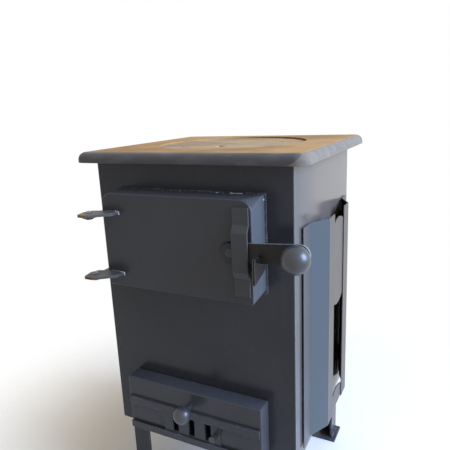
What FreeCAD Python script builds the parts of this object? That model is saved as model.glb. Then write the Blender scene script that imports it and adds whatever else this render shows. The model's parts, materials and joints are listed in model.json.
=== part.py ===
import FreeCAD, Part
import math
import os
import re
import Sketcher

# A firebrick-lined wood stove: a sheet-steel body on four legs, with a cast hob plate, a latched fuel door,
# an ash drawer and a convection shield on each side. The origin is on the floor under the middle of the body,
# the fuel door faces -Y, and sizes are in millimetres and degrees.

DIMENSIONS = {
    # Clearances shared by many pieces
    "running_fit": 0.1,
    "rest_gap": 0.3,
    # Body of welded sheet
    "body_width": 350,
    "body_depth": 325,
    "body_height": 495,
    "panel_wall": 3,
    "panel_edge_round": 1.5,
    # Legs of angle section
    "leg_height": 148,
    "leg_flange": 35,
    "leg_wall": 4,
    "leg_inset": 12,
    "foot_size": 52,
    "foot_wall": 4,
    # Hob plate, ring and lid
    "plate_overhang": 27,
    "plate_rim": 17,
    "plate_web": 12,
    "rim_width": 12,
    "plate_corner": 20,
    "plate_round": 13,
    "plate_under_round": 1,
    "ring_radius": 133,
    "ring_setback": 8,
    "ring_seat": 8,
    "ring_wall": 6,
    "ring_ledge": 3,
    "ring_drop": 3,
    "ring_clearance": 1,
    "lid_radius": 91,
    "lid_seat": 7,
    "notch_length": 14,
    "notch_width": 22,
    "notch_depth": 4,
    "notch_distance": 50,
    # Flue collar on the rear panel
    "flue_radius": 60.5,
    "flue_wall": 2.5,
    "flue_length": 57,
    "flue_flange": 20,
    "flue_flange_wall": 3,
    "flue_drop": 97,
    # Fire bed: ledge, grate and bricks
    "ledge_rise": 28,
    "ledge_wall": 4,
    "brick_wall": 30,
    "brick_drop": 123,
    "front_brick_gap": 12.5,
    "rear_brick_gap": 8,
    "brick_gap": 0.5,
    "grate_side_gap": 42,
    "grate_end_gap": 11.5,
    "grate_wall": 14,
    "grate_bearing": 9,
    "grate_slot": 10,
    "grate_border": 16,
    # Fuel door and its mouth
    "door_width": 260,
    "door_shift": 2.5,
    "door_height": 153,
    "door_drop": 43,
    "door_depth": 46,
    "door_wall": 3,
    "door_gap": 1,
    "door_corner_top": 18,
    "door_corner_top_rear": 2,
    "door_corner_bottom": 5,
    "door_corner_bottom_rear": 11,
    "door_edge_round": 1.5,
    "door_inner_round": 0.8,
    "frame_depth": 5,
    "frame_side": 21.5,
    "frame_top": 20.5,
    "liner_standoff": 18,
    "liner_wall": 2,
    "liner_gap": 3,
    "seal_size": 9,
    "stud_radius": 4,
    "stud_inset": 22,
    # Door hinges
    "upper_hinge_inset": 28.5,
    "lower_hinge_inset": 20,
    "hinge_wall": 4,
    "pin_out": 20,
    "pin_side": 10.5,
    "pin_radius": 3,
    "pin_head_radius": 5.5,
    "pin_head": 2.5,
    "leaf_side": 10.5,
    "leaf_tip": 20.5,
    "leaf_tip_start": 6,
    "leaf_tip_end": 10,
    "leaf_shoulder": 29,
    "leaf_shoulder_front": 6,
    "leaf_end": 41,
    "leaf_end_rear": 4,
    "leaf_reach": 43,
    "leaf_root": 16,
    "leaf_heel": 13,
    "leaf_heel_side": 5,
    "leaf_corner": 4,
    "bracket_width": 15,
    "bracket_end_radius": 10.5,
    "bracket_door_gap": 1.2,
    # Latch
    "lever_pivot_inset": 33.5,
    "lever_pivot_rise": 1,
    "lever_length": 103,
    "lever_width": 28,
    "lever_wall": 4,
    "lever_tilt": 4,
    "rivet_radius": 4,
    "rivet_head_radius": 6.5,
    "rivet_head": 1.2,
    "strap_width": 24,
    "strap_side_inset": 4,
    "strap_wall": 3,
    "strap_clearance": 0.2,
    "strap_top_inset": 10,
    "strap_bottom_inset": 13,
    "strap_room_above": 15.5,
    "strap_room_below": 11.5,
    "strap_ramp": 11,
    "ball_radius": 19.5,
    "ball_flat_radius": 8,
    "ball_drop": 1.2,
    "screw_radius": 4,
    "screw_head_radius": 7.5,
    "screw_head": 5,
    "screw_bite": 14,
    "catch_wall": 3.5,
    "catch_swing_gap": 1,
    "catch_nose": 17,
    "catch_nose_rise": 12,
    "catch_nose_drop": 26,
    "catch_nose_round": 8,
    "catch_root_rise": 12,
    "catch_root_drop": 3,
    "catch_clearance": 0.5,
    # Ash drawer
    "drawer_rise": 12,
    "drawer_front_width": 259,
    "drawer_front_height": 102,
    "drawer_front_depth": 29,
    "drawer_front_wall": 2.5,
    "drawer_front_round": 3,
    "drawer_gap": 1,
    "drawer_overlap": 11,
    "drawer_wall": 2,
    "drawer_length": 262,
    "drawer_top_gap": 5.7,
    "drawer_side_gap": 3,
    "runner_flange": 26,
    "runner_wall": 3,
    "knob_radius": 15,
    "knob_neck_radius": 6,
    "knob_neck": 14,
    "knob_inset": 26,
    # Air slider on the drawer front
    "air_slot_width": 12,
    "air_slot_height": 32,
    "air_slot_pitch": 32,
    "air_slot_inset": 34,
    "slider_wall": 2,
    "slider_border": 7,
    "guide_width": 8,
    "guide_lip": 4,
    "guide_wall": 2,
    "slider_knob_radius": 6,
    "slider_knob_foot": 3.6,
    "slider_knob_length": 13,
    # Side shields
    "shield_setback": 33,
    "shield_length": 276,
    "shield_drop": 99,
    "shield_rise": 16,
    "shield_reach": 24,
    "shield_gap": 2,
    "shield_wall": 1.5,
    "shield_flange": 33,
    "shield_run": 40,
    "shield_strip": 32,
    "bridge_lap": 10,
    "bridge_inset": 12,
    "lower_bridge_inset": 2,
    "upper_bridge_height": 158,
    "lower_bridge_height": 36,
    "bridge_end_radius": 64,
    "standoff_width": 14,
    "standoff_height": 30,
    "standoff_inset": 30,
}

GRATE_SLOTS = 8
AIR_SLOTS = 3
STANDOFF_LEVELS = 3
FILLET_SHARE = 0.45

doc = FreeCAD.newDocument("FirebrickStove")
sheet = doc.addObject("Spreadsheet::Sheet", "Sheet")
for row, (name, value) in enumerate(DIMENSIONS.items(), start=1):
    sheet.set(f"A{row}", name)
    sheet.set(f"B{row}", str(value))
    sheet.setAlias(f"B{row}", name)
doc.recompute()

subparts = []

ALONG = {
    "+x": FreeCAD.Rotation(FreeCAD.Vector(0, 1, 0), 90),
    "+y": FreeCAD.Rotation(FreeCAD.Vector(1, 0, 0), -90),
    "-y": FreeCAD.Rotation(FreeCAD.Vector(1, 0, 0), 90),
    "+z": FreeCAD.Rotation(),
}


# Helpers: formulas, placing and naming

def on_sheet(text):
    """The formula with each dimension's name pointing at the sheet."""
    def point(word):
        return f"Sheet.{word.group()}" if word.group() in DIMENSIONS else word.group()
    return re.sub(r"[a-z][a-z0-9_]*", point, text)


def size(text):
    """The present value of a formula."""
    return float(sheet.evalExpression(text))


def place(item, at, along="+z"):
    """Bind where an item's own origin stands, and turn its own Z axis along a direction."""
    item.Placement = FreeCAD.Placement(FreeCAD.Vector(), ALONG[along])
    for axis, text in zip("xyz", at):
        item.setExpression(f"Placement.Base.{axis}", on_sheet(text))
    return item


def subpart(label, item):
    """Name a finished piece of the stove."""
    item.Label = label
    subparts.append(item)
    return item


# Helpers: solids

def box(x, y, z):
    """A block from its three (low, high) spans."""
    item = doc.addObject("Part::Box", "Block")
    for side, (low, high) in zip(("Length", "Width", "Height"), (x, y, z)):
        item.setExpression(side, on_sheet(f"({high}) - ({low})"))
    return place(item, (x[0], y[0], z[0]))


def rod(radius, length, at, along="+z"):
    """A cylinder that starts at a point."""
    item = doc.addObject("Part::Cylinder", "Rod")
    item.setExpression("Radius", on_sheet(radius))
    item.setExpression("Height", on_sheet(length))
    return place(item, at, along)


def join(*items):
    item = doc.addObject("Part::MultiFuse", "Joined")
    item.Shapes = items
    item.Refine = True
    return item


def cut(base, *tools):
    item = doc.addObject("Part::Cut", "Cut")
    item.Base = base
    item.Tool = tools[0] if len(tools) == 1 else join(*tools)
    return item


def group(*items):
    """Separate solids kept as one piece's set."""
    item = doc.addObject("Part::Compound", "Group")
    item.Links = items
    return item


def rounded(base, chosen, radius, far_radius=None):
    """Round the chosen edges. A far radius makes the rounding grow from an edge's +Y end to its -Y end."""
    doc.recompute()
    near = size(radius)
    far = size(far_radius or radius)
    item = doc.addObject("Part::Fillet", "Rounded")
    item.Base = base
    edges = []
    for number, edge in enumerate(base.Shape.Edges, start=1):
        if chosen(edge):
            starts_near = edge.firstVertex().Y > edge.lastVertex().Y
            edges.append((number, near, far) if starts_near else (number, far, near))
    item.Edges = edges
    return item


NEAR = 0.01


def lies_at(axis, text):
    """A test for edges in the plane where an axis has a value."""
    value = size(text)

    def test(edge):
        span = edge.BoundBox
        low = getattr(span, f"{axis}Min")
        high = getattr(span, f"{axis}Max")
        return abs(low - value) < NEAR and abs(high - value) < NEAR
    return test


def runs_along(axis):
    """A test for straight edges along an axis."""
    others = [f"{other}Length" for other in "XYZ" if other != axis]

    def test(edge):
        return all(getattr(edge.BoundBox, other) < NEAR for other in others)
    return test


# Helpers: sketched bodies

def sketch_on(body, role):
    sketch = body.newObject("Sketcher::SketchObject", "Profile")
    plane = next(item for item in body.Origin.OriginFeatures if item.Role == role)
    sketch.AttachmentSupport = [(plane, "")]
    sketch.MapMode = "FlatFace"
    return sketch


def hold(sketch, kind, text, *where):
    """Add a sized constraint that follows a formula."""
    number = sketch.addConstraint(Sketcher.Constraint(kind, *where, size(text)))
    sketch.setExpression(f"Constraints[{number}]", on_sheet(text))


def arc_middle(start, end, radius):
    """The middle of the arc that bulges to the right of the way from start to end."""
    chord = end - start
    rise = radius - math.sqrt(radius**2 - (chord.Length / 2) ** 2)
    outward = FreeCAD.Vector(chord.y, -chord.x, 0).normalize()
    return (start + end) * 0.5 + outward * rise


def outline(sketch, corners):
    """A closed outline through (u, v) corners. A third value is the radius of an arc to the next corner."""
    first = sketch.GeometryCount
    points = [FreeCAD.Vector(size(corner[0]), size(corner[1]), 0) for corner in corners]
    starts = []
    ends = []
    for index, corner in enumerate(corners):
        start = points[index]
        end = points[(index + 1) % len(points)]
        if len(corner) == 3:
            curve = Part.Arc(start, arc_middle(start, end, size(corner[2])), end)
        else:
            curve = Part.LineSegment(start, end)
        number = sketch.addGeometry(curve, False)
        forward = sketch.getPoint(number, 1).distanceToPoint(start) < NEAR
        starts.append(1 if forward else 2)
        ends.append(2 if forward else 1)
    for index, corner in enumerate(corners):
        following = (index + 1) % len(corners)
        joint = (first + index, ends[index], first + following, starts[following])
        sketch.addConstraint(Sketcher.Constraint("Coincident", *joint))
        hold(sketch, "DistanceX", corner[0], -1, 1, first + index, starts[index])
        hold(sketch, "DistanceY", corner[1], -1, 1, first + index, starts[index])
        if len(corner) == 3:
            hold(sketch, "Radius", corner[2], first + index)


def circle(sketch, u, v, radius):
    centre = FreeCAD.Vector(size(u), size(v), 0)
    number = sketch.addGeometry(Part.Circle(centre, FreeCAD.Vector(0, 0, 1), size(radius)), False)
    hold(sketch, "DistanceX", u, -1, 1, number, 3)
    hold(sketch, "DistanceY", v, -1, 1, number, 3)
    hold(sketch, "Radius", radius, number)


def rectangle(u, v):
    """The corners of a rectangle from its two (low, high) spans."""
    return [(u[0], v[0]), (u[1], v[0]), (u[1], v[1]), (u[0], v[1])]


def pad(role, length, outlines, circles=(), at=("0", "0", "0")):
    """A body padded from a sketch towards +X, +Y or +Z."""
    body = doc.addObject("PartDesign::Body", "Padded")
    sketch = sketch_on(body, role)
    for corners in outlines:
        outline(sketch, corners)
    for disc in circles:
        circle(sketch, *disc)
    feature = body.newObject("PartDesign::Pad", "Pad")
    feature.Profile = sketch
    feature.Reversed = role == "XZ_Plane"
    feature.setExpression("Length", on_sheet(length))
    return place(body, at)


def soften(body, chosen, radius):
    """Fillet the chosen edges of a body's last feature, in the body's own frame."""
    doc.recompute()
    base = body.Tip
    names = [f"Edge{number}" for number, edge in enumerate(base.Shape.Edges, start=1) if chosen(edge)]
    feature = body.newObject("PartDesign::Fillet", "Fillet")
    feature.Base = (base, names)
    feature.setExpression("Radius", on_sheet(radius))
    return body


def turned(profile, at, along="+z"):
    """A body turned from (radius, height) corners about its own Z axis."""
    body = doc.addObject("PartDesign::Body", "Turned")
    sketch = sketch_on(body, "XZ_Plane")
    outline(sketch, profile)
    feature = body.newObject("PartDesign::Revolution", "Revolution")
    feature.Profile = sketch
    feature.ReferenceAxis = (sketch, ["V_Axis"])
    feature.Angle = 360
    return place(body, at, along)


def domed_pin(shank, shank_length, head, head_height, tail=None):
    """The profile of a pin: a shank from height 0 up to a domed head, with or without a flat tail below."""
    dome = f"(({head})^2 + ({head_height})^2) / (2 * ({head_height}))"
    top = f"({shank_length}) + ({head_height})"
    profile = [("0", "0"), (shank, "0")]
    if tail:
        profile = [("0", f"-({tail})"), (head, f"-({tail})"), (head, "0"), (shank, "0")]
    return profile + [(shank, shank_length), (head, shank_length, dome), ("0", top)]


# Places that many pieces share

LEFT = "(-body_width / 2)"
RIGHT = "(body_width / 2)"
FRONT = "(-body_depth / 2)"
BACK = "(body_depth / 2)"
INNER_RIGHT = f"({RIGHT} - panel_wall)"
INNER_LEFT = f"({LEFT} + panel_wall)"
INNER_FRONT = f"({FRONT} + panel_wall)"
INNER_BACK = f"({BACK} - panel_wall)"
RIM = "(leg_height + body_height)"
PLATE_TOP = f"({RIM} + plate_rim)"
WALL_TOP = f"({PLATE_TOP} - plate_web)"
WALL_SPAN = ("leg_height", WALL_TOP)

DOOR_LEFT = "(door_shift - door_width / 2)"
DOOR_RIGHT = "(door_shift + door_width / 2)"
DOOR_TOP = f"({RIM} - door_drop)"
DOOR_BOTTOM = f"({DOOR_TOP} - door_height)"
DOOR_MIDDLE = f"({DOOR_TOP} - door_height / 2)"
FRAME_FACE = f"({FRONT} - frame_depth)"
DOOR_REAR = f"({FRAME_FACE} - door_gap)"
DOOR_FACE = f"({DOOR_REAR} - door_depth)"
MOUTH_X = (f"(frame_side - {DOOR_RIGHT})", f"({DOOR_RIGHT} - frame_side)")
MOUTH_Z = (f"({DOOR_BOTTOM} + frame_top)", f"({DOOR_TOP} - frame_top)")
PIN_X = f"({DOOR_LEFT} - pin_side)"
PIN_Y = f"({DOOR_FACE} - pin_out)"

PIVOT_X = f"({DOOR_RIGHT} - lever_pivot_inset)"
PIVOT_Z = f"({DOOR_MIDDLE} + lever_pivot_rise)"
LEVER_BACK = f"({DOOR_FACE} - rest_gap)"
LEVER_FACE = f"({LEVER_BACK} - lever_wall)"

DRAWER_BOTTOM = "(leg_height + drawer_rise)"
DRAWER_TOP = f"({DRAWER_BOTTOM} + drawer_front_height)"
DRAWER_FACE = f"({FRONT} - drawer_gap - drawer_front_depth)"
HATCH_X = ("-(drawer_front_width / 2 - drawer_overlap)", "drawer_front_width / 2 - drawer_overlap")
HATCH_Z = (f"({DRAWER_BOTTOM} + drawer_overlap)", f"({DRAWER_TOP} - drawer_overlap)")
DRAWER_FLOOR = f"({HATCH_Z[0]} + rest_gap)"

LEDGE_TOP = f"({DRAWER_TOP} + ledge_rise)"
BED_X = (f"({INNER_LEFT} + brick_wall)", f"({INNER_RIGHT} - brick_wall)")
BED_Y = (f"({INNER_FRONT} + brick_wall)", f"({INNER_BACK} - brick_wall)")
GRATE_X = (f"({BED_X[0]} + grate_side_gap)", f"({BED_X[1]} - grate_side_gap)")
GRATE_Y = (f"({BED_Y[0]} + grate_end_gap)", f"({BED_Y[1]} - grate_end_gap)")
FLUE_Z = f"({RIM} - flue_drop)"


# Body panels

def body_panels():
    front_at = ("0", FRONT, "0")
    mouths = [rectangle(MOUTH_X, MOUTH_Z), rectangle(HATCH_X, HATCH_Z)]
    front = pad("XZ_Plane", "panel_wall", [rectangle((LEFT, RIGHT), WALL_SPAN)] + mouths, at=front_at)
    outer_corners = [lies_at("X", LEFT), lies_at("X", RIGHT)]

    def outer_corner(edge):
        on_face = abs(edge.BoundBox.YMin) < NEAR
        return runs_along("Z")(edge) and on_face and any(test(edge) for test in outer_corners)
    subpart("front_panel", soften(front, outer_corner, "panel_edge_round"))

    flue_hole = ("0", FLUE_Z, "flue_radius + flue_wall")
    rear_at = ("0", INNER_BACK, "0")
    rear = pad("XZ_Plane", "panel_wall", [rectangle((LEFT, RIGHT), WALL_SPAN)], [flue_hole], rear_at)
    subpart("rear_panel", rear)

    depth = (INNER_FRONT, INNER_BACK)
    subpart("left_side_panel", box((LEFT, INNER_LEFT), depth, WALL_SPAN))
    subpart("right_side_panel", box((INNER_RIGHT, RIGHT), depth, WALL_SPAN))
    floor_span = ("leg_height", "leg_height + panel_wall")
    subpart("bottom_panel", box((INNER_LEFT, INNER_RIGHT), depth, floor_span))


def flue_ring(wall, length, start):
    """A ring round the flue's bore, from a start behind the rear panel."""
    profile = [
        ("flue_radius", "0"),
        (f"flue_radius + {wall}", "0"),
        (f"flue_radius + {wall}", length),
        ("flue_radius", length),
    ]
    return turned(profile, ("0", f"{BACK} + {start}", FLUE_Z), "+y")


def flue_collar():
    subpart("flue_flange", flue_ring("flue_wall + flue_flange", "flue_flange_wall", "0"))
    subpart("flue_collar", flue_ring("flue_wall", "flue_length", "flue_flange_wall"))


def legs():
    """An angle leg in each corner, with a foot plate under it."""
    feet = []
    corners = [("front_left", -1, -1), ("front_right", 1, -1), ("rear_left", -1, 1), ("rear_right", 1, 1)]
    for name, side, end in corners:
        corner_x = f"{side} * (body_width / 2 - leg_inset)"
        corner_y = f"{end} * (body_depth / 2 - leg_inset)"
        steps = [(0, 0), ("leg_flange", 0), ("leg_flange", "leg_wall"), ("leg_wall", "leg_wall"),
                 ("leg_wall", "leg_flange"), (0, "leg_flange")]
        section = [(f"{-side} * {u}", f"{-end} * {v}") for u, v in steps]
        leg = pad("XY_Plane", "leg_height - foot_wall", [section], at=(corner_x, corner_y, "foot_wall"))
        subpart(f"{name}_leg", leg)
        middle_x = f"{corner_x} - {side} * leg_flange / 2"
        middle_y = f"{corner_y} - {end} * leg_flange / 2"
        foot_x = (f"{middle_x} - foot_size / 2", f"{middle_x} + foot_size / 2")
        foot_y = (f"{middle_y} - foot_size / 2", f"{middle_y} + foot_size / 2")
        feet.append(box(foot_x, foot_y, ("0", "foot_wall")))
    subpart("foot_plates", group(*feet))


# Hob plate with its ring and lid

def hob():
    half_x = "(body_width / 2 + plate_overhang)"
    half_y = "(body_depth / 2 + plate_overhang)"
    slab = box((f"-{half_x}", half_x), (f"-{half_y}", half_y), (RIM, PLATE_TOP))
    slab = rounded(slab, runs_along("Z"), "plate_corner")
    slab = rounded(slab, lies_at("Z", PLATE_TOP), "plate_round")
    slab = rounded(slab, lies_at("Z", RIM), "plate_under_round")
    hollow_x = f"({half_x} - rim_width)"
    hollow_y = f"({half_y} - rim_width)"
    hollow = box((f"-{hollow_x}", hollow_x), (f"-{hollow_y}", hollow_y), (f"{RIM} - plate_rim", WALL_TOP))
    seat_top = f"({PLATE_TOP} - ring_drop - ring_wall - rest_gap)"
    recess = rod("ring_radius + ring_clearance", "plate_web", ("0", "ring_setback", seat_top))
    opening_at = ("0", "ring_setback", f"{PLATE_TOP} - 2 * plate_web")
    opening = rod("ring_radius - ring_seat", "2 * plate_web", opening_at)
    subpart("hob_plate", cut(slab, hollow, recess, opening))

    ring_bottom = f"({seat_top} + rest_gap)"
    throat = "(lid_radius - lid_seat)"
    ring_profile = [
        (throat, "0"),
        ("ring_radius", "0"),
        ("ring_radius", "ring_wall"),
        ("lid_radius + ring_clearance", "ring_wall"),
        ("lid_radius + ring_clearance", "ring_ledge"),
        (throat, "ring_ledge"),
    ]
    ring_at = ("0", "ring_setback", ring_bottom)
    subpart("hob_ring", turned(ring_profile, ring_at))

    lid_profile = [
        ("0", "0"),
        (f"{throat} - ring_clearance", "0"),
        (f"{throat} - ring_clearance", "ring_ledge + rest_gap"),
        ("lid_radius", "ring_ledge + rest_gap"),
        ("lid_radius", "ring_wall"),
        ("0", "ring_wall"),
    ]
    lid = turned(lid_profile, ring_at)
    lid_top = f"({ring_bottom} + ring_wall)"
    notch_x = ("-notch_length / 2", "notch_length / 2")
    notch_middle = "(ring_setback - notch_distance)"
    notch_y = (f"{notch_middle} - notch_width / 2", f"{notch_middle} + notch_width / 2")
    notch = box(notch_x, notch_y, (f"{lid_top} - notch_depth", f"{lid_top} + notch_depth"))
    subpart("hob_lid", cut(lid, notch))


# Fire bed inside the body

def fire_bed():
    ledge_z = (f"{LEDGE_TOP} - ledge_wall", LEDGE_TOP)
    ledge = box((INNER_LEFT, INNER_RIGHT), (INNER_FRONT, INNER_BACK), ledge_z)
    spans = (GRATE_X, GRATE_Y)
    opening_spans = [(f"{low} + grate_bearing", f"{high} - grate_bearing") for low, high in spans]
    ledge_opening = box(*opening_spans, (f"{LEDGE_TOP} - 2 * ledge_wall", f"{LEDGE_TOP} + ledge_wall"))
    subpart("grate_ledge", cut(ledge, ledge_opening))

    grate_top = f"({LEDGE_TOP} + grate_wall)"
    pitch = f"({GRATE_X[1]} - {GRATE_X[0]} - 2 * grate_border) / {GRATE_SLOTS}"
    slot_y = (f"{GRATE_Y[0]} + grate_border", f"{GRATE_Y[1]} - grate_border")
    slots = []
    for index in range(GRATE_SLOTS):
        middle = f"{index - (GRATE_SLOTS - 1) / 2} * {pitch}"
        slot_x = (f"{middle} - grate_slot / 2", f"{middle} + grate_slot / 2")
        slots.append(box(slot_x, slot_y, (f"{LEDGE_TOP} - grate_wall", f"{grate_top} + grate_wall")))
    subpart("grate", cut(box(GRATE_X, GRATE_Y, (LEDGE_TOP, grate_top)), *slots))

    half_gap = "brick_gap / 2"
    tall = (LEDGE_TOP, f"{RIM} - brick_drop")
    front_z = (LEDGE_TOP, f"{MOUTH_Z[0]} - front_brick_gap")
    rear_z = (LEDGE_TOP, f"{FLUE_Z} - flue_radius - flue_wall - rear_brick_gap")
    halves_y = [(INNER_FRONT, f"-{half_gap}"), (half_gap, INNER_BACK)]
    subpart("left_firebricks", group(*[box((INNER_LEFT, BED_X[0]), span, tall) for span in halves_y]))
    subpart("right_firebricks", group(*[box((BED_X[1], INNER_RIGHT), span, tall) for span in halves_y]))
    halves_x = [(f"{BED_X[0]} + brick_gap", f"-{half_gap}"), (half_gap, f"{BED_X[1]} - brick_gap")]
    subpart("rear_firebricks", group(*[box(span, (BED_Y[1], INNER_BACK), rear_z) for span in halves_x]))
    subpart("front_firebricks", group(*[box(span, (INNER_FRONT, BED_Y[0]), front_z) for span in halves_x]))


# Fuel door

def door_block(inset, rear):
    """The door's outer form, drawn in by an inset on its sides, its face and its corner radii."""
    x = (f"{DOOR_LEFT} + {inset}", f"{DOOR_RIGHT} - {inset}")
    z = (f"{DOOR_BOTTOM} + {inset}", f"{DOOR_TOP} - {inset}")
    face = f"({DOOR_FACE} + {inset})"
    block = box(x, (face, rear), z)

    def at_corner(level):
        on_level = lies_at("Z", level)
        return lambda edge: runs_along("Y")(edge) and on_level(edge)
    def inner(name):
        return f"max({name} - {inset}; door_inner_round)"
    block = rounded(block, at_corner(z[1]), inner("door_corner_top_rear"), inner("door_corner_top"))
    block = rounded(block, at_corner(z[0]), inner("door_corner_bottom_rear"), inner("door_corner_bottom"))
    return rounded(block, lies_at("Y", face), inner("door_edge_round"))


def fuel_door():
    frame_x = (DOOR_LEFT, DOOR_RIGHT)
    frame_z = (DOOR_BOTTOM, DOOR_TOP)
    outlines = [rectangle(frame_x, frame_z), rectangle(MOUTH_X, MOUTH_Z)]
    subpart("fuel_door_frame", pad("XZ_Plane", "frame_depth", outlines, at=("0", FRAME_FACE, "0")))

    shell = door_block("0", DOOR_REAR)
    hollow = door_block("door_wall", f"({DOOR_REAR} + door_gap)")
    rivet_hole = rod("rivet_radius", "3 * door_wall", (PIVOT_X, f"{DOOR_FACE} - door_wall", PIVOT_Z), "+y")
    subpart("fuel_door_pan", cut(shell, hollow, rivet_hole))

    inner_left = f"({DOOR_LEFT} + door_wall + rest_gap)"
    inner_right = f"({DOOR_RIGHT} - door_wall - rest_gap)"
    inner_top = f"({DOOR_TOP} - door_wall - rest_gap)"
    inner_bottom = f"({DOOR_BOTTOM} + door_wall + rest_gap)"
    rope_x = (f"({inner_left} + seal_size)", f"({inner_right} - seal_size)")
    rope_z = (f"({inner_bottom} + seal_size)", f"({inner_top} - seal_size)")
    rope_y = (f"{DOOR_REAR} + door_gap - rest_gap - seal_size", f"{DOOR_REAR} + door_gap - rest_gap")
    rope_block = box((inner_left, inner_right), rope_y, (inner_bottom, inner_top))
    rope_outer = rounded(rope_block, runs_along("Y"), "door_corner_bottom_rear")
    rope_inner = box(rope_x, (f"{rope_y[0]} - seal_size", f"{rope_y[1]} + seal_size"), rope_z)
    subpart("fuel_door_seal", cut(rope_outer, rope_inner))

    tray_x = (f"({rope_x[0]} + rest_gap)", f"({rope_x[1]} - rest_gap)")
    tray_z = (f"({rope_z[0]} + rest_gap)", f"({rope_z[1]} - rest_gap)")
    tray_face = f"({DOOR_FACE} + door_wall + liner_standoff)"
    tray_rear = f"({DOOR_REAR} + door_gap - liner_gap)"
    tray = box(tray_x, (tray_face, tray_rear), tray_z)
    inside_x = (f"{tray_x[0]} + liner_wall", f"{tray_x[1]} - liner_wall")
    inside_z = (f"{tray_z[0]} + liner_wall", f"{tray_z[1]} - liner_wall")
    inside_y = (f"{tray_face} + liner_wall", f"{tray_rear} + liner_wall")
    inside = box(inside_x, inside_y, inside_z)
    subpart("fuel_door_liner", cut(tray, inside))

    studs = []
    for stud_x in (f"{tray_x[0]} + stud_inset", f"{tray_x[1]} - stud_inset"):
        for stud_z in (f"{tray_z[0]} + stud_inset", f"{tray_z[1]} - stud_inset"):
            at = (stud_x, f"{DOOR_FACE} + door_wall", stud_z)
            studs.append(rod("stud_radius", "liner_standoff", at, "+y"))
    subpart("liner_studs", group(*studs))


# Door hinges

HINGE_LEVELS = {
    "upper": f"({DOOR_TOP} - upper_hinge_inset - hinge_wall)",
    "lower": f"({DOOR_BOTTOM} + lower_hinge_inset)",
}


def hinges():
    """Leaf plates on the door turn on pins that stand in brackets on the body."""
    leaf = [
        ("-leaf_side", "0"),
        ("-leaf_tip_start", "-leaf_tip"),
        ("leaf_tip_end", "-leaf_tip"),
        ("leaf_shoulder", "-leaf_shoulder_front"),
        ("leaf_end", "leaf_end_rear"),
        ("leaf_reach", "pin_out"),
        ("leaf_root", "pin_out"),
        ("-leaf_heel_side", "leaf_heel"),
    ]
    arm_right = "(pin_side - bracket_door_gap)"
    arm_x = (f"{PIN_X} + {arm_right} - bracket_width", f"{PIN_X} + {arm_right}")
    pins = []
    for name, level in HINGE_LEVELS.items():
        pin_hole = ("0", "0", "pin_radius + running_fit")
        plate = pad("XY_Plane", "hinge_wall", [leaf], [pin_hole], (PIN_X, PIN_Y, level))

        def free_corner(edge):
            return runs_along("Z")(edge) and edge.firstVertex().Y < size("pin_out") - NEAR
        subpart(f"{name}_hinge_leaf", soften(plate, free_corner, "leaf_corner"))

        bracket_z = (f"{level} - rest_gap - hinge_wall", f"{level} - rest_gap")
        arm = box(arm_x, (PIN_Y, FRONT), bracket_z)
        eye = rod("bracket_end_radius", "hinge_wall", (PIN_X, PIN_Y, bracket_z[0]))
        bore = rod("pin_radius", "3 * hinge_wall", (PIN_X, PIN_Y, f"{bracket_z[0]} - hinge_wall"))
        subpart(f"{name}_hinge_bracket", cut(join(arm, eye), bore))

        shank = "2 * hinge_wall + 2 * rest_gap"
        profile = domed_pin("pin_radius", shank, "pin_head_radius", "pin_head", tail="pin_head")
        pins.append(turned(profile, (PIN_X, PIN_Y, bracket_z[0])))
    subpart("hinge_pins", group(*pins))


# Latch: lever, strap and knob on the door, catch on the body

def guide_strap():
    """A flat strap on the door's face, joggled outwards so that the lever passes behind it."""
    low = f"({DOOR_BOTTOM} + strap_bottom_inset)"
    high = f"({DOOR_TOP} - strap_top_inset)"
    bridge_low = f"({PIVOT_Z} - lever_width / 2 - strap_room_below)"
    bridge_high = f"({PIVOT_Z} + lever_width / 2 + strap_room_above)"
    raised = "(lever_wall + 2 * rest_gap + rivet_head + strap_clearance)"
    bend = f"(strap_wall * tan(atan({raised} / strap_ramp) / 2))"
    outer = f"-{raised} - strap_wall"
    profile = [
        ("0", low),
        ("0", f"{bridge_low} - strap_ramp"),
        (f"-{raised}", bridge_low),
        (f"-{raised}", bridge_high),
        ("0", f"{bridge_high} + strap_ramp"),
        ("0", high),
        ("-strap_wall", high),
        ("-strap_wall", f"{bridge_high} + strap_ramp + {bend}"),
        (outer, f"{bridge_high} + {bend}"),
        (outer, f"{bridge_low} - {bend}"),
        ("-strap_wall", f"{bridge_low} - strap_ramp - {bend}"),
        ("-strap_wall", low),
    ]
    strap_at = (f"{DOOR_RIGHT} - strap_side_inset - strap_width", DOOR_FACE, "0")
    subpart("lever_guide_strap", pad("YZ_Plane", "strap_width", [profile], at=strap_at))


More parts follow.
